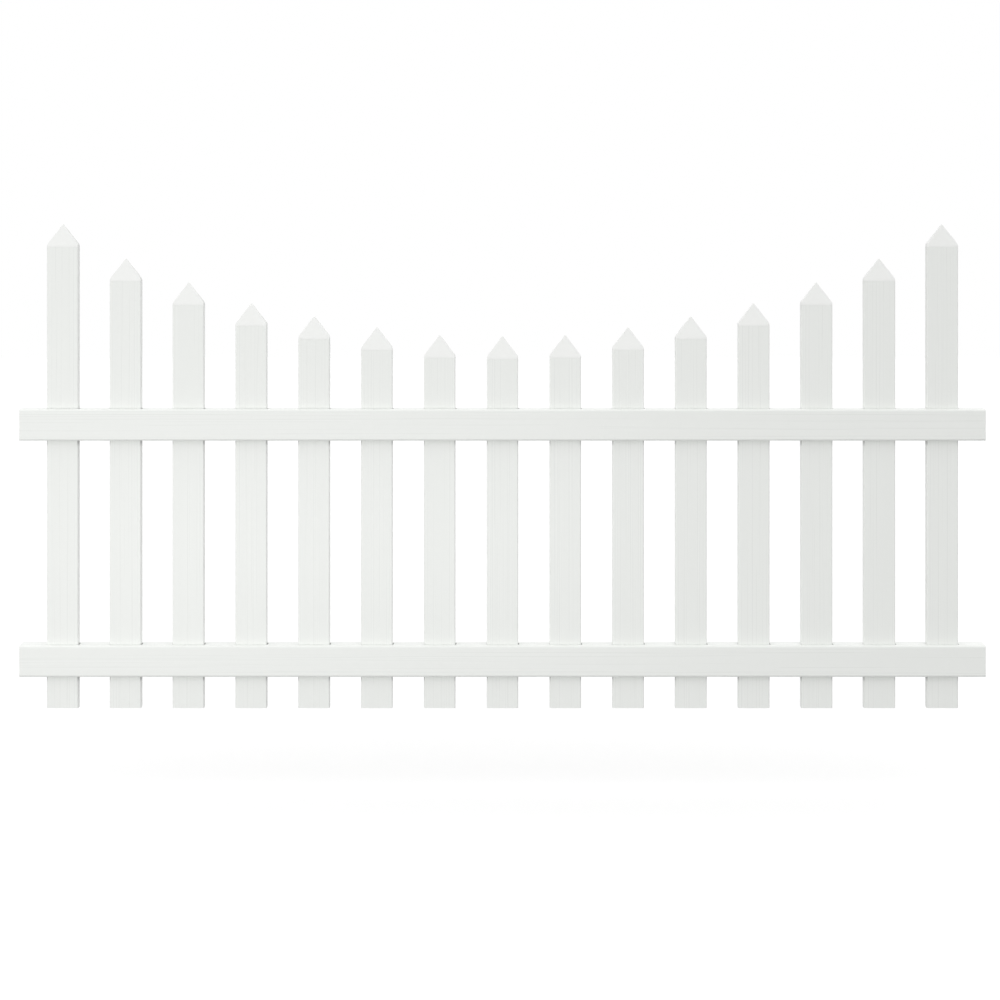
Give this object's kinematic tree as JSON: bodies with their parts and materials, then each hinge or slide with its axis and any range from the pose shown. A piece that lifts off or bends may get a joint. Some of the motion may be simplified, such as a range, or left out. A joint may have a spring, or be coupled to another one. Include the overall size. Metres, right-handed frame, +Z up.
{
  "type": "picket fence panel",
  "caption": "White vinyl picket fence panel with a scalloped top: hollow pickets with pyramid caps pass through two hollow routed rails that span between posts.",
  "frame": {"origin": "middle of the lower rail's left end face, which meets the left post", "axes": "+X along the fence to the right seen from the front, the front faces -Y, +Z up"},
  "size_m": [2.3368, 0.0508, 1.1733],
  "materials": {
    "rail_vinyl": "extruded white PVC, satin",
    "picket_vinyl": "extruded white PVC, satin",
    "cap_vinyl": "moulded white PVC, satin"
  },
  "bodies": {
    "root": {"lower_rail": "rail_vinyl", "upper_rail": "rail_vinyl", "picket_01": "picket_vinyl", "picket_02": "picket_vinyl", "picket_03": "picket_vinyl", "picket_04": "picket_vinyl", "picket_05": "picket_vinyl", "picket_06": "picket_vinyl", "picket_07": "picket_vinyl", "picket_08": "picket_vinyl", "picket_09": "picket_vinyl", "picket_10": "picket_vinyl", "picket_11": "picket_vinyl", "picket_12": "picket_vinyl", "picket_13": "picket_vinyl", "picket_14": "picket_vinyl", "picket_15": "picket_vinyl", "cap_01": "cap_vinyl", "cap_02": "cap_vinyl", "cap_03": "cap_vinyl", "cap_04": "cap_vinyl", "cap_05": "cap_vinyl", "cap_06": "cap_vinyl", "cap_07": "cap_vinyl", "cap_08": "cap_vinyl", "cap_09": "cap_vinyl", "cap_10": "cap_vinyl", "cap_11": "cap_vinyl", "cap_12": "cap_vinyl", "cap_13": "cap_vinyl", "cap_14": "cap_vinyl", "cap_15": "cap_vinyl"}
  },
  "joints": []
}
